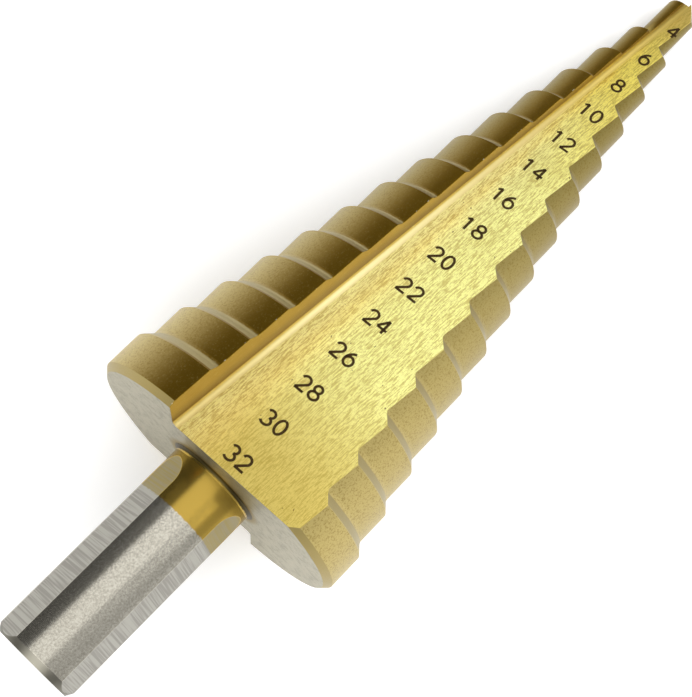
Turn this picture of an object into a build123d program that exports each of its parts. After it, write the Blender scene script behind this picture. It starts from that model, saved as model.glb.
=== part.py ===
"""Two-flute step drill, 4 to 32 mm in fifteen steps, with a three-flat shank.

The drill is one solid: a round shank with three flats for the chuck, and a
stepped cone with two straight V flutes. It is built along +X, with the rear
face of the cone at X = 0 and the point towards +X. It is then laid down with
one flute facing the table, on that flute's cutting edge and heel.

Angles round the axis are measured from +Y towards +Z while it is built. Seen
from the point, the drill cuts anticlockwise.
"""

import os
from math import acos, atan, cos, degrees, radians, sin

from build123d import *

# Steps, mm
PILOT_DIAMETER = 4.0
STEP_RISE = 2.0  # growth in diameter from one step to the next
STEP_COUNT = 15
STEP_PITCH = 5.0  # along the axis, from one front corner to the next
PILOT_LENGTH = 6.1  # from the second step's front corner to the pilot's
LARGEST_STEP_LENGTH = 5.0  # from the rear face to its front corner
REAR_CHAMFER = 0.7
PILOT_SHOULDER = 0.7  # length of the shoulder that rises from the pilot
LARGEST_SHOULDER = 1.2  # length of the shoulder of the largest step
POINT_LENGTH = 2.6
SHOULDER_ROOT_RADIUS = 0.3  # inner corner of the shoulder behind the pilot
SHOULDER_ROOT_GROWTH = 0.05  # what each further shoulder adds to it

# Relief behind each cutting edge
LAND_RELIEF = 0.1  # offset of a land's own axis, mm
SHOULDER_RELIEF = 0.85  # how far a shoulder falls back from edge to heel, mm

# Flutes: a V whose root runs down to the axis at the point
ROOT_AZIMUTH = 49.0
ROOT_RADIUS_REAR = 10.2
ROOT_RADIUS_POINT = 0.35
CUTTING_FACE_LEAN = 30.5  # from the radius through the root, degrees
BACK_WALL_LEAN = 111.0
ROOT_FILLET = 0.6
FLUTE_MIDDLE = 94.0  # azimuth between the cutting edge and the heel
LAND_ANGLE = 112.0  # what one land spans from edge to heel

# Shank
SHANK_DIAMETER = 10.0
SHANK_LENGTH = 25.0
SHANK_CHAMFER_RADIAL = 0.45
SHANK_CHAMFER_AXIAL = 0.8
SHANK_FILLET = 0.5  # where the shank meets the rear face
FLAT_COUNT = 3
FLAT_DEPTH = 0.38
FLAT_AZIMUTH = 33.5
FLAT_RUNOUT_RADIUS = 8.0
FLAT_TO_REAR_FACE = 1.0

OVERRUN = 1.0  # how far a cutter passes what it cuts
TOLERANCE = 0.01  # for finding an edge by where it lies

LAST = STEP_COUNT - 1  # index of the largest step; the pilot is step 0


def step_radius(index):
    """Radius of a step at its cutting edge."""
    return (PILOT_DIAMETER + index * STEP_RISE) / 2


def step_front(index):
    """Where the front corner of a step lies at its cutting edge."""
    if index == 0:
        return step_front(1) + PILOT_LENGTH
    return LARGEST_STEP_LENGTH + (LAST - index) * STEP_PITCH


def step_back(index):
    """Where a step begins: inside the next larger one, or at the rear face."""
    if index == LAST:
        return 0.0
    return step_front(index + 1) - STEP_PITCH / 2


def fall_length(index):
    """Length along the axis over which the front of a step falls by 1 mm."""
    if index == 0:
        return POINT_LENGTH / step_radius(0)
    growth = (index - 1) / (LAST - 1)
    shoulder = PILOT_SHOULDER + growth * (LARGEST_SHOULDER - PILOT_SHOULDER)
    return shoulder / (STEP_RISE / 2)


def radial(azimuth):
    """Unit vector square to the axis."""
    return Vector(0, cos(radians(azimuth)), sin(radians(azimuth)))


EDGE_AZIMUTH = FLUTE_MIDDLE - (180 - LAND_ANGLE) / 2
HEEL_AZIMUTH = FLUTE_MIDDLE + (180 - LAND_ANGLE) / 2
TOTAL_LENGTH = step_front(0) + POINT_LENGTH
relief_centre = radial(EDGE_AZIMUTH) * LAND_RELIEF


def relieved_step(index):
    """One step: a cylinder with its front cut by a leaning cone.

    The cylinder's axis is offset towards the cutting edge, so that the step
    has its full radius there alone. The cone leans back from the edge to the
    heel, so that only the edge of the shoulder touches the work.
    """
    radius = step_radius(index) - LAND_RELIEF
    fall = fall_length(index)
    swing = SHOULDER_RELIEF / (1 - cos(radians(LAND_ANGLE)))
    lean = atan(swing / radius)
    front = step_front(index) - swing
    length = front - step_back(index)
    cone_axis = Vector(cos(lean), 0, 0) - radial(EDGE_AZIMUTH) * sin(lean)
    cone_back = length + 2 * radius
    cone_front = min(STEP_RISE, radius) if index else radius
    cone_base = Plane(
        origin=Vector(front, 0, 0) + relief_centre - cone_axis * cone_back,
        x_dir=radial(FLUTE_MIDDLE + 90),
        z_dir=cone_axis,
    )
    with BuildPart() as step:
        with BuildSketch(Plane.YZ.offset(step_back(index))):
            with Locations((relief_centre.Y, relief_centre.Z)):
                Circle(radius)
        extrude(amount=length + 2 * swing + fall * radius)
        if index == LAST:
            chamfer(step.faces().sort_by(Axis.X)[0].edges(), REAR_CHAMFER)
        with Locations(cone_base):
            Cone(
                radius + cone_back / fall,
                radius - cone_front,
                cone_back + cone_front * fall,
                align=(Align.CENTER, Align.CENTER, Align.MIN),
                mode=Mode.INTERSECT,
            )
    return step.part


def is_inner_corner(edge, index):
    """Whether an edge is the corner between a step and the next shoulder."""
    if edge.geom_type != GeomType.BSPLINE or edge.center().X > step_front(index) - STEP_PITCH / 2:
        return False
    radius = step_radius(index) - LAND_RELIEF
    points = [point - relief_centre for point in edge.positions([0, 0.5, 1])]
    return all(abs(Vector(0, point.Y, point.Z).length - radius) < TOLERANCE for point in points)


steps = [relieved_step(index) for index in range(STEP_COUNT)]

with BuildPart() as land:
    for step in steps:
        add(step)
    for index in range(LAST):
        corner = land.edges().filter_by(lambda edge: is_inner_corner(edge, index))
        fillet(corner, SHOULDER_ROOT_RADIUS + index * SHOULDER_ROOT_GROWTH)
    split(bisect_by=Plane(origin=(0, 0, 0), z_dir=radial(FLUTE_MIDDLE - 90)), keep=Keep.TOP)

# The V is drawn square to the axis and carried along its root line.
root_slope = (ROOT_RADIUS_POINT - ROOT_RADIUS_REAR) / TOTAL_LENGTH
root_direction = Vector(1, 0, 0) + radial(ROOT_AZIMUTH) * root_slope
root_start = radial(ROOT_AZIMUTH) * (ROOT_RADIUS_REAR - OVERRUN * root_slope)
root = Vector(root_start.Y, root_start.Z)
wall_length = 3 * step_radius(LAST)  # far past the largest step

with BuildPart() as flute:
    with BuildSketch(Plane.YZ.offset(-OVERRUN)):
        walls = [
            root + Vector(wall_length, 0).rotate(Axis.Z, ROOT_AZIMUTH + lean)
            for lean in (CUTTING_FACE_LEAN, BACK_WALL_LEAN)
        ]
        with BuildLine():
            Polyline(root, walls[0], walls[1], close=True)
        make_face()
        fillet(vertices().sort_by_distance(root)[0], ROOT_FILLET)
    extrude(amount=(TOTAL_LENGTH + 2 * OVERRUN) * root_direction.length, dir=root_direction)

# A flat runs in from the shank's end and comes out along the wheel's arc.
flat_height = SHANK_DIAMETER / 2 - FLAT_DEPTH
runout_angle = acos(1 - FLAT_DEPTH / FLAT_RUNOUT_RADIUS)
runout_start = -FLAT_TO_REAR_FACE - FLAT_RUNOUT_RADIUS * sin(runout_angle)

with BuildPart() as flat:
    with BuildSketch(Plane.XZ):
        with BuildLine():
            runout = CenterArc(
                (runout_start, flat_height + FLAT_RUNOUT_RADIUS),
                FLAT_RUNOUT_RADIUS,
                -90,
                degrees(runout_angle),
            )
            Polyline(
                runout @ 1,
                (-FLAT_TO_REAR_FACE, SHANK_DIAMETER / 2 + OVERRUN),
                (-SHANK_LENGTH - OVERRUN, SHANK_DIAMETER / 2 + OVERRUN),
                (-SHANK_LENGTH - OVERRUN, flat_height),
                runout @ 0,
            )
        make_face()
    extrude(amount=SHANK_DIAMETER / 2, both=True)

with BuildPart() as step_drill:
    for turn in (0, 180):
        add(land.part, rotation=(turn, 0, 0))
    for turn in (0, 180):
        add(flute.part, rotation=(turn, 0, 0), mode=Mode.SUBTRACT)
    with BuildSketch(Plane.YZ):
        Circle(SHANK_DIAMETER / 2)
    extrude(amount=-SHANK_LENGTH)
    shank_end = step_drill.faces().sort_by(Axis.X)[0]
    chamfer(shank_end.edges(), SHANK_CHAMFER_RADIAL, SHANK_CHAMFER_AXIAL, reference=shank_end)
    rings = step_drill.edges().filter_by(GeomType.CIRCLE)
    rings = [ring for ring in rings if abs(ring.radius - SHANK_DIAMETER / 2) < TOLERANCE]
    fillet([ring for ring in rings if abs(ring.center().X) < TOLERANCE], SHANK_FILLET)
    for turn in range(FLAT_COUNT):
        azimuth = FLAT_AZIMUTH + turn * 360 / FLAT_COUNT
        add(flat.part, rotation=(azimuth - 90, 0, 0), mode=Mode.SUBTRACT)


def corner_near(x, azimuth, radius):
    """The corner of the drill that is nearest to a place."""
    place = Vector(x, 0, 0) + radial(azimuth) * radius
    return Vector(step_drill.vertices().sort_by_distance(place)[0])


# It lies on the second flute: on the largest step's heel, and on the cutting
# corners of the largest step and of the pilot.
heel = corner_near(step_front(LAST) - SHOULDER_RELIEF, HEEL_AZIMUTH + 180, step_radius(LAST))
edge_rear = corner_near(step_front(LAST), EDGE_AZIMUTH + 180, step_radius(LAST))
edge_pilot = corner_near(step_front(0), EDGE_AZIMUTH + 180, step_radius(0))
up = (edge_pilot - edge_rear).cross(heel - edge_rear).normalized()
along = Vector(1, 0, 0) - up * up.X
table = Plane(origin=edge_rear, x_dir=along, z_dir=up)
lying = table.to_local_coords(step_drill.part)
box = lying.bounding_box()
lying = Pos(-box.center().X, -box.center().Y, -box.min.Z) * lying

os.makedirs("parts", exist_ok=True)
lying.label = "step_drill"
export_step(lying, "parts/step_drill.step")
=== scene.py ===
"""Looks of the step drill: coated steel, marked step sizes, table, light and camera."""

import bpy
import numpy as np
from math import cos, pi, radians, sin
from mathutils import Euler, Matrix, Vector


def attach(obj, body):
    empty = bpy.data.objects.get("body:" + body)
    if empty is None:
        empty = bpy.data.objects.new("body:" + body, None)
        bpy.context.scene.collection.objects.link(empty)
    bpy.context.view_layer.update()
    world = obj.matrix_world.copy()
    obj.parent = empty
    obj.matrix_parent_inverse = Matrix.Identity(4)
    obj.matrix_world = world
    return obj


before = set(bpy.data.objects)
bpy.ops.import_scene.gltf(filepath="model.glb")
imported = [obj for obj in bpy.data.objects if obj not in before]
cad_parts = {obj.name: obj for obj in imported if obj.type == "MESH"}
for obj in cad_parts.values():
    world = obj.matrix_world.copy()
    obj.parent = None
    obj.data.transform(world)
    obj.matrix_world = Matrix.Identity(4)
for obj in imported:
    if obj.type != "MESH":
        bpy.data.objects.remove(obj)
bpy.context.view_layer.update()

# ---------------------------------------------------------------- the drill
# One bar of high-speed steel, turned and ground to fifteen steps, with two V
# flutes ground along it. The cone and the neck carry a gold nitride coating.
# The shank and the rear face are bare ground steel.

MM = 0.001
LIE_TILT = 9.329  # degrees that the axis slopes down towards the point
LIE_ROLL = -4.43  # degrees that the drill is turned about its axis
REAR_CENTRE = (-25.573, 0.0, 14.107)  # centre of the cone's rear face, mm

lying = (
    Matrix.Translation(Vector(REAR_CENTRE) * MM)
    @ Matrix.Rotation(radians(LIE_TILT), 4, "Y")
    @ Matrix.Rotation(radians(LIE_ROLL), 4, "X")
)

# Lengths are in mm from here on, along the drill from its rear face. Azimuths
# are in degrees, from +Y towards +Z about the drill's axis.
CONE_LENGTH = 78.7
POINT_START = 76.1  # where the point begins, in front of the pilot
REAR_CHAMFER = 0.7
FLUTE_MIDDLE = 94.0
ROOT_AZIMUTH = 49.0
CUTTING_FACE_LEAN = 30.5
BROAD_WALL_LEAN = 111.0
BEYOND_EDGE = 70.0  # a little past the cutting edge, which is at about 60
ROOT_REAR = 10.2  # the root's distance from the axis, at the rear face
ROOT_POINT = 0.35  # and at the point
ROOT_SLOPE = (ROOT_REAR - ROOT_POINT) / CONE_LENGTH
SHANK_RADIUS = 5.0
SHANK_STRAIGHT = 24.2  # from the rear face to the chamfer at the end
CHAMFER_SLOPE = 0.5625  # how fast the chamfer narrows
COATED_NECK = 5.4  # how far the coating reaches behind the rear face


class Finish:
    """A material that is built up node by node."""

    def __init__(self, name):
        self.material = bpy.data.materials.new(name)
        self.material.use_nodes = True
        self.tree = self.material.node_tree
        self.shader = self.tree.nodes["Principled BSDF"]

    def node(self, kind, inputs=(), **settings):
        """Add a node, set it up, and give each input in turn a link or a value."""
        made = self.tree.nodes.new(kind)
        for name, value in settings.items():
            setattr(made, name, value)
        for key, value in dict(inputs).items():
            if isinstance(value, bpy.types.NodeSocket):
                self.tree.links.new(value, made.inputs[key])
            else:
                made.inputs[key].default_value = value
        return made

    def sum(self, operation, first, second=0.0, third=0.0):
        """One step of arithmetic on numbers."""
        values = {0: first, 1: second, 2: third}
        return self.node("ShaderNodeMath", values, operation=operation).outputs[0]

    def times(self, first, second):
        """The product of two numbers, or of two masks: where both hold."""
        return self.sum("MULTIPLY", first, second)

    def times_add(self, first, second, third):
        """first * second + third."""
        return self.sum("MULTIPLY_ADD", first, second, third)

    def rise(self, value, low, high):
        """0 below low, 1 above high, and smooth between them."""
        values = {"Value": value, "From Min": low, "From Max": high}
        made = self.node("ShaderNodeMapRange", values, interpolation_type="SMOOTHSTEP")
        return made.outputs[0]

    def fall(self, value, low, high):
        """1 below low, 0 above high, and smooth between them."""
        values = {"Value": value, "From Min": low, "From Max": high, "To Min": 1.0, "To Max": 0.0}
        made = self.node("ShaderNodeMapRange", values, interpolation_type="SMOOTHSTEP")
        return made.outputs[0]

    def mix(self, share, first, second):
        """first where share is 0 and second where it is 1, for colours."""
        values = {0: share, 6: first, 7: second}
        made = self.node("ShaderNodeMix", values, data_type="RGBA")
        return made.outputs[2]

    def between(self, share, first, second):
        """first where share is 0 and second where it is 1, for numbers."""
        return self.node("ShaderNodeMix", {0: share, 2: first, 3: second}).outputs[0]

    def noise(self, place, stretch, scale, detail, roughness):
        """Noise on a place that is first stretched along its own axes."""
        spread = self.node("ShaderNodeMapping", {"Vector": place, "Scale": stretch})
        values = {"Vector": spread.outputs[0], "Scale": scale, "Detail": detail, "Roughness": roughness}
        return self.node("ShaderNodeTexNoise", values).outputs["Fac"]

    def feed(self, **values):
        """Give the shader's own sockets a link or a value, spaces written as _."""
        for name, value in values.items():
            socket = self.shader.inputs[name.replace("_", " ")]
            if isinstance(value, bpy.types.NodeSocket):
                self.tree.links.new(value, socket)
            else:
                socket.default_value = value


def drill_places(finish):
    """The place in the drill's own axes, in mm: as a vector, then x along it
    from the rear face, y and z across it, and the radius and azimuth of y and z."""
    back = lying.inverted()
    own = finish.node(
        "ShaderNodeMapping",
        {
            "Vector": finish.node("ShaderNodeTexCoord").outputs["Object"],
            "Location": back.translation / MM,
            "Rotation": back.to_euler(),
            "Scale": (1 / MM, 1 / MM, 1 / MM),
        },
    ).outputs[0]
    x, y, z = finish.node("ShaderNodeSeparateXYZ", {0: own}).outputs
    radius = finish.sum("SQRT", finish.times_add(z, z, finish.times(y, y)))
    azimuth = finish.sum("ARCTAN2", z, y)
    return own, x, y, z, radius, azimuth


steel = Finish("coated_steel")
own, x, y, z, radius, azimuth = drill_places(steel)

# Where a part of the drill begins and ends, as the low and high end of a blend.
CONE_START = (0.01, 0.03)
ROOT_END = (0.55, 0.85)  # away from the root's corner, over its fillet
WALL_START = (0.2, 0.5)  # the same, for a flute wall
WALL_CORE = 0.6  # the share of a wall's reach that is wholly the wall
WALL_REACH = 0.07  # how near the plane of a flute wall a point on that wall is
EDGE_REACH = 0.12  # how far the wear of the cutting edge runs onto the land
FILLET_REACH = 0.2  # how far the half of the root's fillet by a flute wall reaches
RADIUS_SLACK = 0.02
SHOULDER_FOOT = (0.04, 0.1)  # in parts of a mm of radius
SHOULDER_TOP = (0.78, 0.86)

# The second flute is the first turned by half a turn, so a point on its side
# of the axis is turned back before its distance from the walls is measured.
middle = radians(FLUTE_MIDDLE)
side = steel.sum("SIGN", steel.times_add(y, cos(middle), steel.times(z, sin(middle))))
root_radius = steel.times_add(x, -ROOT_SLOPE, ROOT_REAR)
from_root_y = steel.times_add(y, side, steel.times(root_radius, -cos(radians(ROOT_AZIMUTH))))
from_root_z = steel.times_add(z, side, steel.times(root_radius, -sin(radians(ROOT_AZIMUTH))))
root_distance = steel.times_add(from_root_y, from_root_y, steel.times(from_root_z, from_root_z))
root_distance = steel.sum("SQRT", root_distance)
on_cone = steel.rise(x, *CONE_START)


def near_wall(lean, reach):
    """1 within reach of the flute wall that leans so far from the root's radius:
    the point's distance from the wall is small and it lies outwards of the root."""
    direction = radians(ROOT_AZIMUTH + lean)
    off = steel.times_add(from_root_z, cos(direction), steel.times(from_root_y, -sin(direction)))
    off = steel.sum("ABSOLUTE", off)
    along = steel.times_add(from_root_z, sin(direction), steel.times(from_root_y, cos(direction)))
    near = steel.times(steel.fall(off, reach * WALL_CORE, reach), steel.rise(along, *WALL_START))
    return steel.times(near, on_cone)


broad_wall = near_wall(BROAD_WALL_LEAN, WALL_REACH)
cutting_face = near_wall(CUTTING_FACE_LEAN, WALL_REACH)
by_face = near_wall(CUTTING_FACE_LEAN, FILLET_REACH)
flute_root = steel.times(steel.fall(root_distance, *ROOT_END), on_cone)
in_flute = steel.sum("MAXIMUM", flute_root, steel.sum("MAXIMUM", broad_wall, cutting_face))

# Each step is 1 mm larger in radius than the one before it, so a radius that
# isn't near a whole number of mm is on a shoulder or on the point.
part_of_mm = steel.sum("FRACT", steel.sum("ADD", radius, RADIUS_SLACK))
shoulder = steel.times(
    steel.rise(part_of_mm, *SHOULDER_FOOT), steel.fall(part_of_mm, *SHOULDER_TOP)
)
shoulder = steel.times(shoulder, steel.sum("SUBTRACT", 1.0, in_flute))

# Marks that the wheels leave: along the flutes, round the lands and the shank,
# and across the flats. Then fine speckle, broad clouds and a few small pits.
ALONG = dict(stretch=(0.06, 1.0, 1.0), scale=7.5, detail=3.0, roughness=0.6)
ROUND = dict(stretch=(1.0, 0.5, 0.2), scale=5.0, detail=4.0, roughness=0.7)
ACROSS = dict(stretch=(1.0, 0.02, 0.02), scale=6.5, detail=1.0, roughness=0.5)
SPECKLE = dict(stretch=(1.0, 1.0, 1.0), scale=4.5, detail=4.0, roughness=0.8)
CLOUDS = dict(stretch=(0.5, 1.0, 1.0), scale=0.35, detail=2.0, roughness=0.5)
PITS = dict(stretch=(0.7, 1.0, 1.0), scale=3.4, detail=0.0, roughness=0.6)
PIT_LEVEL = (0.84, 0.88)

grain_along = steel.noise(own, **ALONG)
around = steel.node("ShaderNodeCombineXYZ", {0: x, 1: azimuth, 2: radius}).outputs[0]
grain_round = steel.noise(around, **ROUND)
grain_across = steel.noise(own, **ACROSS)
speckle = steel.noise(own, **SPECKLE)
clouds = steel.noise(own, **CLOUDS)
pits = steel.rise(steel.noise(own, **PITS), *PIT_LEVEL)

# The broad wall: a deeper gold at the rear and at the point as painted shade, paler by
# the root as painted light, with the wheel's fine lines along it, flecks, clouds and pits.
WALL_REAR_SHADE = (0.72, 0.575, 0.155, 1.0)
WALL_GOLD = (1.0, 0.98, 0.38, 1.0)
WALL_POINT = (1.0, 0.85, 0.18, 1.0)
WALL_TIP_SHADE = (0.70, 0.52, 0.14, 1.0)
WALL_DEEP = (0.46, 0.33, 0.06, 1.0)
WALL_PAINTED_LIGHT_BY_ROOT = (1.0, 0.96, 0.42, 1.0)
PIT_BROWN = (0.20, 0.12, 0.03, 1.0)
REAR_TO_GOLD = (2.0, 20.0)
GOLD_TO_POINT = (42.0, 64.0)
POINT_TO_TIP = (66.0, 77.0)
PAINTED_LIGHT_ACROSS = (0.8, 6.0)  # away from the root's corner
LINE_LEVEL, LINE_SHARE = (0.40, 0.54), 0.62
FLECK_LEVEL, FLECK_SHARE = (0.5, 0.6), 0.36
CLOUD_LEVEL, CLOUD_SHARE = (0.45, 0.75), 0.16

# painted shade: the wall is a deeper gold at the rear and towards the tip
wall_colour = steel.mix(steel.rise(x, *REAR_TO_GOLD), WALL_REAR_SHADE, WALL_GOLD)
wall_colour = steel.mix(steel.rise(x, *GOLD_TO_POINT), wall_colour, WALL_POINT)
wall_colour = steel.mix(steel.rise(x, *POINT_TO_TIP), wall_colour, WALL_TIP_SHADE)
# painted light: the wall is paler by the root, where its reflection is darker
painted_light_by_root = steel.times(steel.fall(root_distance, *PAINTED_LIGHT_ACROSS), steel.fall(x, *GOLD_TO_POINT))
wall_colour = steel.mix(painted_light_by_root, wall_colour, WALL_PAINTED_LIGHT_BY_ROOT)
lines = steel.times(steel.fall(grain_along, *LINE_LEVEL), LINE_SHARE)
wall_colour = steel.mix(lines, wall_colour, WALL_DEEP)
flecks = steel.times(steel.rise(speckle, *FLECK_LEVEL), FLECK_SHARE)
wall_colour = steel.mix(flecks, wall_colour, WALL_DEEP)
cloudy = steel.times(steel.rise(clouds, *CLOUD_LEVEL), CLOUD_SHARE)
wall_colour = steel.mix(cloudy, wall_colour, WALL_DEEP)
wall_colour = steel.mix(pits, wall_colour, PIT_BROWN)

# The lands: darker just behind the cutting edge as painted shade, by the way each part faces,
# with glints and dark spots. Shoulders, rim and point have a tone of their own.
LAND_GOLD = (0.49, 0.39, 0.145, 1.0)
LAND_OLIVE = (0.25, 0.195, 0.055, 1.0)
LAND_SHADE_AND_SPOTS = (0.165, 0.094, 0.005, 1.0)
SHOULDER_GOLD = (0.33, 0.27, 0.12, 1.0)
RIM_OLIVE = (0.36, 0.28, 0.10, 1.0)
POINT_GOLD = (0.36, 0.25, 0.06, 1.0)
GOLD_TO_OLIVE = (2.0, 60.0)
PAINTED_SHADE_BEHIND_EDGE = (radians(14), radians(52))  # back from a little past the edge
GLINT_LEVEL, GLINT_SHARE = (0.55, 0.66), 0.26
SPOT_LEVEL, SPOT_SHARE = (0.4, 0.5), 0.5
RIM_END = (REAR_CHAMFER - 0.03, REAR_CHAMFER)
POINT_BLEND = (POINT_START, POINT_START + 0.05)

behind = steel.sum("SUBTRACT", radians(BEYOND_EDGE), azimuth)
behind = steel.sum("FLOORED_MODULO", behind, pi)
land_gold = steel.mix(steel.rise(x, *GOLD_TO_OLIVE), LAND_GOLD, LAND_OLIVE)
# painted shade: each land is darker just behind its cutting edge
land_colour = steel.mix(steel.rise(behind, *PAINTED_SHADE_BEHIND_EDGE), LAND_SHADE_AND_SPOTS, land_gold)
glints = steel.times(steel.rise(speckle, *GLINT_LEVEL), GLINT_SHARE)
land_colour = steel.mix(glints, land_colour, land_gold)
spots = steel.times(steel.fall(speckle, *SPOT_LEVEL), SPOT_SHARE)
land_colour = steel.mix(spots, land_colour, LAND_SHADE_AND_SPOTS)
land_colour = steel.mix(shoulder, land_colour, SHOULDER_GOLD)
land_colour = steel.mix(steel.fall(x, *RIM_END), land_colour, RIM_OLIVE)
land_colour = steel.mix(steel.rise(x, *POINT_BLEND), land_colour, POINT_GOLD)

# The cutting edge has small burrs in places, painted as bright highlight dots.
BURR_PAINTED_HIGHLIGHT = (1.0, 0.95, 0.75, 1.0)
BURRS = dict(stretch=(0.8, 1.0, 1.0), scale=1.9, detail=1.0, roughness=0.6)
BURR_LEVEL = (0.66, 0.7)

burr_highlights = steel.rise(steel.noise(own, **BURRS), *BURR_LEVEL)
burr_highlights = steel.times(near_wall(CUTTING_FACE_LEAN, EDGE_REACH), burr_highlights)
# painted highlight: pale dots on the burrs along the cutting edge
land_colour = steel.mix(burr_highlights, land_colour, BURR_PAINTED_HIGHLIGHT)

# The cutting face is a deep gold, darker by the root's corner as painted shade, and the filleted
# root between the walls carries a painted highlight, less so on the cutting face's side and towards
# both ends.
FACE_GOLD = (0.42, 0.25, 0.014, 1.0)
FACE_SHADE_BY_ROOT = (0.24, 0.135, 0.009, 1.0)
ROOT_REAR_HIGHLIGHT = (0.66, 0.53, 0.20, 1.0)
ROOT_PAINTED_HIGHLIGHT = (0.94, 0.84, 0.42, 1.0)
ROOT_BY_FACE_HIGHLIGHT = (0.74, 0.58, 0.22, 1.0)
ROOT_POINT_HIGHLIGHT = (0.60, 0.46, 0.13, 1.0)
ROOT_TIP_HIGHLIGHT = (0.38, 0.28, 0.07, 1.0)
FACE_ACROSS = (0.8, 4.0)  # away from the root's corner
ROOT_REAR_BLEND = (2.0, 24.0)
ROOT_POINT_BLEND = (20.0, 62.0)
ROOT_TIP_BLEND = (62.0, 78.0)

# painted shade: the cutting face is darker by the root's corner
face_colour = steel.mix(steel.rise(root_distance, *FACE_ACROSS), FACE_SHADE_BY_ROOT, FACE_GOLD)
# painted highlight on the root's fillet, dimmer at the rear, on the cutting face's side and towards the
# tip
root_painted_highlight = steel.mix(steel.rise(x, *ROOT_REAR_BLEND), ROOT_REAR_HIGHLIGHT, ROOT_PAINTED_HIGHLIGHT)
root_painted_highlight = steel.mix(by_face, root_painted_highlight, ROOT_BY_FACE_HIGHLIGHT)
root_painted_highlight = steel.mix(steel.rise(x, *ROOT_POINT_BLEND), root_painted_highlight, ROOT_POINT_HIGHLIGHT)
root_painted_highlight = steel.mix(steel.rise(x, *ROOT_TIP_BLEND), root_painted_highlight, ROOT_TIP_HIGHLIGHT)
cone_colour = steel.mix(broad_wall, land_colour, wall_colour)
cone_colour = steel.mix(cutting_face, cone_colour, face_colour)
cone_colour = steel.mix(flute_root, cone_colour, root_painted_highlight)

# The shank, its end chamfer and its flats are bare. The coating ends on the
# neck in a slightly ragged line, and it is thin on the flats.
SHANK_GREY = (0.36, 0.337, 0.28, 1.0)
SHANK_PALE = (0.54, 0.515, 0.44, 1.0)
CHAMFER_GREY = (0.20, 0.19, 0.155, 1.0)
FLAT_GREY = (0.275, 0.262, 0.232, 1.0)
FLAT_PALE = (0.38, 0.368, 0.325, 1.0)
NECK_GOLD = (0.43, 0.29, 0.055, 1.0)
NECK_FLAT = (0.30, 0.24, 0.09, 1.0)
SHANK_LEVEL = (0.34, 0.64)
FLAT_LEVEL = (0.38, 0.6)
THIN_LEVEL, THIN_SHARE = (0.3, 0.7), 0.35
FLAT_BLEND = (SHANK_RADIUS - 0.03, SHANK_RADIUS - 0.01)
RAGGED = 0.5  # how far the coating's end wanders in all
COAT_BLEND = (-0.06, 0.06)
CHAMFER_NEAR = (0.03, 0.05)  # off the chamfer's own surface
CHAMFER_START = (-SHANK_STRAIGHT - 0.04, -SHANK_STRAIGHT + 0.02)

round_colour = steel.mix(steel.rise(speckle, *SHANK_LEVEL), SHANK_GREY, SHANK_PALE)
flat_colour = steel.mix(steel.rise(grain_across, *FLAT_LEVEL), FLAT_GREY, FLAT_PALE)
flat = steel.fall(radius, *FLAT_BLEND)
bare_colour = steel.mix(flat, round_colour, flat_colour)
thin = steel.times(steel.rise(grain_across, *THIN_LEVEL), THIN_SHARE)
neck_colour = steel.mix(flat, NECK_GOLD, steel.mix(thin, NECK_FLAT, FLAT_GREY))
coat_end = steel.times_add(speckle, RAGGED, -COATED_NECK - RAGGED / 2)
coated = steel.rise(steel.sum("SUBTRACT", x, coat_end), *COAT_BLEND)
shank_colour = steel.mix(coated, bare_colour, neck_colour)
past_straight = steel.sum("ADD", x, SHANK_STRAIGHT)
chamfer_radius = steel.times_add(past_straight, CHAMFER_SLOPE, SHANK_RADIUS)
off_chamfer = steel.sum("ABSOLUTE", steel.sum("SUBTRACT", radius, chamfer_radius))
chamfer = steel.times(steel.fall(off_chamfer, *CHAMFER_NEAR), steel.fall(x, *CHAMFER_START))
shank_colour = steel.mix(chamfer, shank_colour, CHAMFER_GREY)

# The rear face is bare and mottled, with a painted reflection of the gold neck in a brown ring
# round the neck, and painted shade on the fillet where the neck meets it.
REAR_GREY = (0.28, 0.255, 0.18, 1.0)
REAR_PALE = (0.395, 0.365, 0.265, 1.0)
RING_PAINTED_REFLECTION = (0.25, 0.185, 0.055, 1.0)
FILLET_PAINTED_SHADE = (0.06, 0.045, 0.015, 1.0)
REAR_CLOUDS = dict(stretch=(1.0, 1.0, 1.0), scale=0.9, detail=3.0, roughness=0.6)
REAR_CLOUD_SHARE = 0.5
REAR_LEVEL = (0.41, 0.54)
RING_BLEND = (SHANK_RADIUS + 0.5, SHANK_RADIUS + 1.5)
FILLET_BLEND = (SHANK_RADIUS + 0.35, SHANK_RADIUS + 0.6)
REAR_BLEND = (SHANK_RADIUS + 0.01, SHANK_RADIUS + 0.05)

rear_clouds = steel.between(REAR_CLOUD_SHARE, speckle, steel.noise(own, **REAR_CLOUDS))
rear_colour = steel.mix(steel.rise(rear_clouds, *REAR_LEVEL), REAR_GREY, REAR_PALE)
# painted reflection: a brown ring round the neck, of the gold neck
rear_colour = steel.mix(steel.fall(radius, *RING_BLEND), rear_colour, RING_PAINTED_REFLECTION)
# painted shade: a dark fillet where the neck meets the rear face
rear_colour = steel.mix(steel.fall(radius, *FILLET_BLEND), rear_colour, FILLET_PAINTED_SHADE)
rear_face = steel.rise(radius, *REAR_BLEND)
behind_cone = steel.mix(rear_face, shank_colour, rear_colour)
colour = steel.mix(on_cone, behind_cone, cone_colour)

# The wall is smoother along the wheel's lines, the lands are matt in specks,
# and the turned shank is the brightest.
WALL_ROUGH = (0.32, 0.46)
ROOT_ROUGH = 0.5
LAND_ROUGH = (0.34, 0.5)
SHANK_ROUGH = (0.2, 0.26)
FLAT_ROUGH = 0.42
REAR_ROUGH = 0.45

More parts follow.
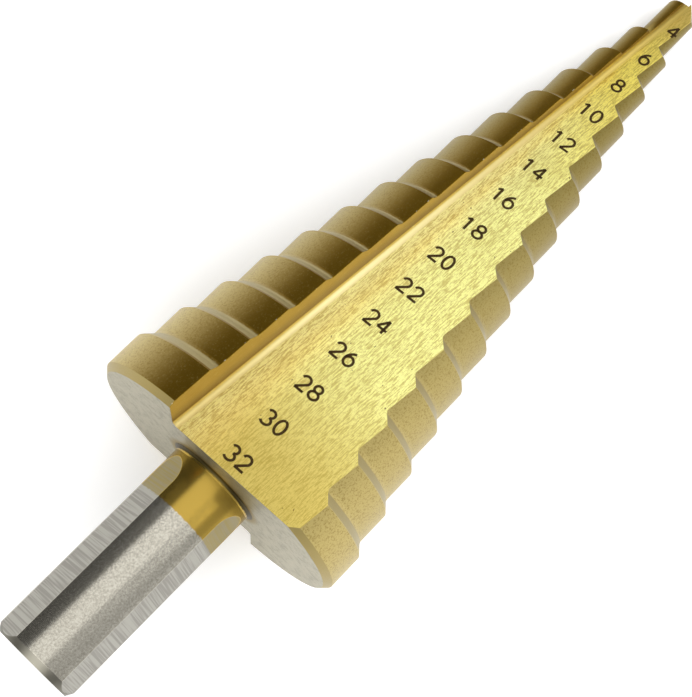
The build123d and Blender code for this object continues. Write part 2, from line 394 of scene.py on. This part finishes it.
wall_rough = steel.between(flute_root, steel.between(grain_along, *WALL_ROUGH), ROOT_ROUGH)
land_rough = steel.between(speckle, *LAND_ROUGH)
shank_rough = steel.between(flat, steel.between(grain_round, *SHANK_ROUGH), FLAT_ROUGH)
shank_rough = steel.between(rear_face, shank_rough, REAR_ROUGH)
rough = steel.between(on_cone, shank_rough, steel.between(in_flute, land_rough, wall_rough))

# The same marks as a relief of a few hundredths of a mm.
LAND_RINGS = 0.6  # height of the rings round a land beside its speckle
SHANK_SPECKLE = 0.25
RELIEF_STRENGTH = 0.4
RELIEF_DEPTH = 0.00003  # m

land_height = steel.times_add(grain_round, LAND_RINGS, speckle)
shank_height = steel.between(flat, steel.times(speckle, SHANK_SPECKLE), grain_across)
height = steel.between(in_flute, land_height, grain_along)
height = steel.between(on_cone, shank_height, height)
relief = {"Strength": RELIEF_STRENGTH, "Distance": RELIEF_DEPTH, "Height": height}
bump = steel.node("ShaderNodeBump", relief)

# The wall is less metallic by the root, on the wall's side, and less so at the rear, which
# lightens it there as painted light. The burrs are less metallic too, for their painted highlights.
BRIGHTENING_ACROSS = (0.15, 0.42)  # in parts of the root's distance from the axis
BRIGHTENING_END = (50.0, 66.0)
BRIGHTENING_GROWS = (4.0, 28.0)
BRIGHTENING_SHARE = (0.45, 0.85)  # at the rear and further on
BURR_BRIGHTENING = 0.8

wall_side = steel.times(flute_root, steel.sum("SUBTRACT", 1.0, by_face))
wall_side = steel.sum("MAXIMUM", broad_wall, wall_side)
brightened_by_root = steel.fall(steel.sum("DIVIDE", root_distance, root_radius), *BRIGHTENING_ACROSS)
brightened_by_root = steel.times(brightened_by_root, steel.fall(x, *BRIGHTENING_END))
brightened_by_root = steel.times(brightened_by_root, steel.between(steel.rise(x, *BRIGHTENING_GROWS), *BRIGHTENING_SHARE))
brightened_by_root = steel.times(brightened_by_root, wall_side)
# painted light: metalness lowered by the root and on the burrs, so they look lighter
metal = steel.sum("SUBTRACT", steel.times_add(burr_highlights, -BURR_BRIGHTENING, 1.0), brightened_by_root)
steel.feed(Base_Color=colour, Metallic=metal, Roughness=rough, Normal=bump.outputs[0])

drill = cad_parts["step_drill"]
drill.data.materials.clear()
drill.data.materials.append(steel.material)

# -------------------------------------------------------------- step sizes
# The sizes of the steps, marked by laser on the broad wall of one flute as
# thin dark lines, each beside the front of its own step. Every line is a flat
# tape that lies on the wall.

PILOT_SIZE = 4
STEP_RISE = 2
STEP_COUNT = 15
STEP_PITCH = 5.0
LARGEST_STEP = 5.0
BEHIND_PILOT = 2.5  # from a step's front corner back to the middle of its number
BEHIND_GROWTH = 0.05  # what each larger step adds to that
PILOT_FORWARD = 0.3  # how much nearer to the front the pilot's own number is
PILOT_SIDEWAYS = -0.8  # the middle of a number beside the axis, mm
SIDEWAYS_GROWTH = 0.05
DIGIT_HEIGHT = 1.68
DIGIT_WIDTH = 0.64  # in parts of its height
DIGIT_STEP = 1.5  # from one digit to the next
LINE_WIDTH = 0.28
LINE_RISE = 0.012
ARC_POINTS = 22


def arc(centre, radii, start, end):
    """Points of an ellipse's arc: centre + (radius across * cos, radius up * sin) of the angle."""
    angle = np.radians(np.linspace(start, end, ARC_POINTS))
    return np.stack([centre[0] + radii[0] * np.cos(angle), centre[1] + radii[1] * np.sin(angle)], 1)


def run(*corners):
    """Straight runs through the given corners."""
    return np.array(corners, float)


def joined(*parts):
    """One stroke made of several parts, end to end."""
    return np.concatenate(parts)


# Each digit is drawn in a box 1 high, as one or more strokes.
DIGITS = {
    "0": [arc((0.32, 0.5), (0.29, 0.5), 90, 450)],
    "1": [run((0.12, 0.8), (0.38, 1.0)), run((0.36, 1.0), (0.36, 0.0))],
    "2": [
        joined(arc((0.32, 0.71), (0.29, 0.29), 165, -38), run((0.02, 0.0))),
        run((0.0, 0.0), (0.64, 0.0)),
    ],
    "3": [
        joined(arc((0.3, 0.75), (0.27, 0.25), 150, -80), arc((0.3, 0.26), (0.32, 0.26), 80, -150))
    ],
    "4": [run((0.47, 0.0), (0.47, 1.0)), run((0.47, 1.0), (0.0, 0.3)), run((0.0, 0.3), (0.68, 0.3))],
    "6": [
        joined(arc((0.66, 0.36), (0.64, 0.64), 108, 180), arc((0.32, 0.32), (0.3, 0.32), 180, 520))
    ],
    "8": [arc((0.32, 0.76), (0.25, 0.24), -90, 270), arc((0.32, 0.27), (0.31, 0.27), 90, 450)],
}


def wall_place(along, sideways, rise):
    """Places on the broad wall, in the drill's axes: the root at that distance
    along the drill, plus the wall's direction times the way out to sideways,
    plus the wall's normal times rise."""
    direction = radians(ROOT_AZIMUTH + BROAD_WALL_LEAN)
    root = ROOT_REAR - ROOT_SLOPE * along
    out = (sideways - root * cos(radians(ROOT_AZIMUTH))) / cos(direction)
    up = root * sin(radians(ROOT_AZIMUTH)) + out * sin(direction)
    return np.stack([along, sideways + rise * sin(direction), up - rise * cos(direction)], -1)


def tape(name, stroke, material):
    """A stroke as a flat tape: its points moved half the line's width to each
    side along the stroke's own normal, a little below and above the wall."""
    way = np.gradient(stroke, axis=0)
    way /= np.linalg.norm(way, axis=1, keepdims=True)
    normal = np.stack([-way[:, 1], way[:, 0]], 1) * LINE_WIDTH / 2
    count = len(stroke)
    flat_points = np.concatenate([stroke - normal, stroke + normal])
    low = wall_place(flat_points[:, 1], -flat_points[:, 0], -LINE_RISE)
    high = wall_place(flat_points[:, 1], -flat_points[:, 0], LINE_RISE)
    points = np.concatenate([low, high]) * MM
    points = points @ np.array(lying.to_3x3()).T + np.array(lying.translation)
    left = np.arange(count - 1)
    right = left + count
    up = 2 * count
    faces = np.concatenate(
        [
            np.stack([left + up, left + 1 + up, right + 1 + up, right + up], 1),
            np.stack([left, right, right + 1, left + 1], 1),
            np.stack([left, left + 1, left + 1 + up, left + up], 1),
            np.stack([right, right + up, right + 1 + up, right + 1], 1),
            np.array([[0, up, up + count, count]]),
            np.array([[count - 1, 2 * count - 1, 2 * count - 1 + up, count - 1 + up]]),
        ]
    )
    mesh = bpy.data.meshes.new(name)
    mesh.from_pydata(points.tolist(), [], faces[:, ::-1].tolist())
    mesh.materials.append(material)
    piece = bpy.data.objects.new(name, mesh)
    bpy.context.collection.objects.link(piece)
    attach(piece, "root")


BURN_DARK = (0.022, 0.011, 0.002, 1.0)
BURN_BROWN = (0.075, 0.042, 0.008, 1.0)
BURN_GRAIN = dict(stretch=(1.0, 1.0, 1.0), scale=4000.0, detail=2.0, roughness=0.6)
BURN_ROUGH = 0.6
BURN_SHINE = 0.15

mark = Finish("laser_mark")
burn = mark.noise(mark.node("ShaderNodeTexCoord").outputs["Object"], **BURN_GRAIN)
mark.feed(
    Base_Color=mark.mix(burn, BURN_DARK, BURN_BROWN),
    Roughness=BURN_ROUGH,
    Specular_IOR_Level=BURN_SHINE,
)

for index in range(STEP_COUNT):
    text = str(PILOT_SIZE + index * STEP_RISE)
    front = LARGEST_STEP + (STEP_COUNT - 1 - index) * STEP_PITCH
    low = front - BEHIND_PILOT - index * BEHIND_GROWTH - DIGIT_HEIGHT / 2
    if index == 0:
        low += PILOT_FORWARD
    width = DIGIT_STEP * (len(text) - 1) + DIGIT_WIDTH * DIGIT_HEIGHT
    left = -PILOT_SIDEWAYS - index * SIDEWAYS_GROWTH - width / 2
    for place, digit in enumerate(text):
        for number, stroke in enumerate(DIGITS[digit]):
            drawn = stroke * DIGIT_HEIGHT + (left + place * DIGIT_STEP, low)
            tape(f"size_{text}_{place}_{number}", drawn, mark.material)

# ------------------------------------------------------------------- table
# A light table of opal acrylic that the drill lies on. It glows a little, which
# keeps the shadows weak and lights the lands from below, and it glows more
# away from the drill, where the panels don't reach.

TABLE_SIZE = 24.0  # m
TABLE_GLOW = 0.3
TABLE_FAR_GLOW = 0.95
FAR_BLEND = (0.35, 0.95)  # m from the drill
OPAL_WHITE = (0.9, 0.9, 0.9, 1.0)
OPAL_ROUGH = 0.9
WHITE = (1.0, 1.0, 1.0, 1.0)

half = TABLE_SIZE / 2
table_corners = [(-half, -half, 0), (half, -half, 0), (half, half, 0), (-half, half, 0)]
table_mesh = bpy.data.meshes.new("light_table")
table_mesh.from_pydata(table_corners, [], [(0, 1, 2, 3)])
table = bpy.data.objects.new("light_table", table_mesh)
bpy.context.collection.objects.link(table)
opal = Finish("opal_acrylic")
table_place = opal.node("ShaderNodeTexCoord").outputs["Object"]
from_drill = opal.node("ShaderNodeVectorMath", {0: table_place}, operation="LENGTH").outputs["Value"]
glow = opal.between(opal.rise(from_drill, *FAR_BLEND), TABLE_GLOW, TABLE_FAR_GLOW)
opal.feed(Base_Color=OPAL_WHITE, Roughness=OPAL_ROUGH, Emission_Color=WHITE, Emission_Strength=glow)
table_mesh.materials.append(opal.material)

# ------------------------------------------------------------------- light
# Soft panels over the shank and over the cone give the shank and the broad
# wall their bright bands, and one beside the cone reaches the flute's root.
# Standing panels light the lower side and the rear face. The room is dim, so
# that the lands at the upper side stay dark.

ROOM_GLOW = 0.12


def soft_panel(name, place, size, glow, aim=(0.0, 0.0, 0.0)):
    """A rectangular light that faces a point. Its power is glow * pi * its area."""
    light = bpy.data.lights.new(name, "AREA")
    light.shape = "RECTANGLE"
    light.size, light.size_y = size
    light.energy = glow * pi * size[0] * size[1]
    lamp = bpy.data.objects.new(name, light)
    lamp.location = place
    lamp.rotation_euler = (Vector(aim) - Vector(place)).to_track_quat("-Z", "Y").to_euler()
    bpy.context.collection.objects.link(lamp)


def panel_above(name, place, size, glow):
    """A soft panel that faces straight down."""
    soft_panel(name, place, size, glow, aim=(place[0], place[1], 0.0))


panel_above("over_shank", place=(0.08, 0.075, 0.5), size=(0.36, 0.47), glow=1.25)
panel_above("over_cone", place=(0.6, 0.33, 0.5), size=(0.72, 0.9), glow=1.5)
panel_above("beside_cone", place=(0.56, -0.31, 0.5), size=(0.8, 0.38), glow=2.6)
soft_panel("lower_side", place=(0.05, -0.55, 0.42), size=(1.0, 0.9), glow=0.5)
soft_panel("low_card", place=(0.1, -0.75, 0.1), size=(1.3, 0.2), glow=0.85)
soft_panel("behind_shank", place=(-0.5, 0.0, 0.45), size=(0.5, 0.5), glow=4.0)

room = bpy.data.worlds.new("room")
room.use_nodes = True
room.node_tree.nodes["Background"].inputs["Color"].default_value = WHITE
room.node_tree.nodes["Background"].inputs["Strength"].default_value = ROOM_GLOW
bpy.context.scene.world = room
bpy.context.scene.view_settings.view_transform = "Standard"

# ------------------------------------------------------------------ camera
# It looks almost straight down, with the drill running to the upper right.

CAMERA_PLACE = (-23.153, 11.983, 169.923)  # mm
CAMERA_TURN = (1.1767, -7.3673, -44.0935)  # degrees
FOCAL_LENGTH = 79.05  # mm, on a sensor of that width
SENSOR = 36.0
NEAREST = 0.01  # m, nothing nearer than this is drawn

lens = bpy.data.cameras.new("camera")
lens.lens = FOCAL_LENGTH
lens.sensor_width = SENSOR
lens.clip_start = NEAREST
camera = bpy.data.objects.new("camera", lens)
camera.location = Vector(CAMERA_PLACE) * MM
camera.rotation_euler = Euler([radians(turn) for turn in CAMERA_TURN])
bpy.context.collection.objects.link(camera)
bpy.context.scene.camera = camera
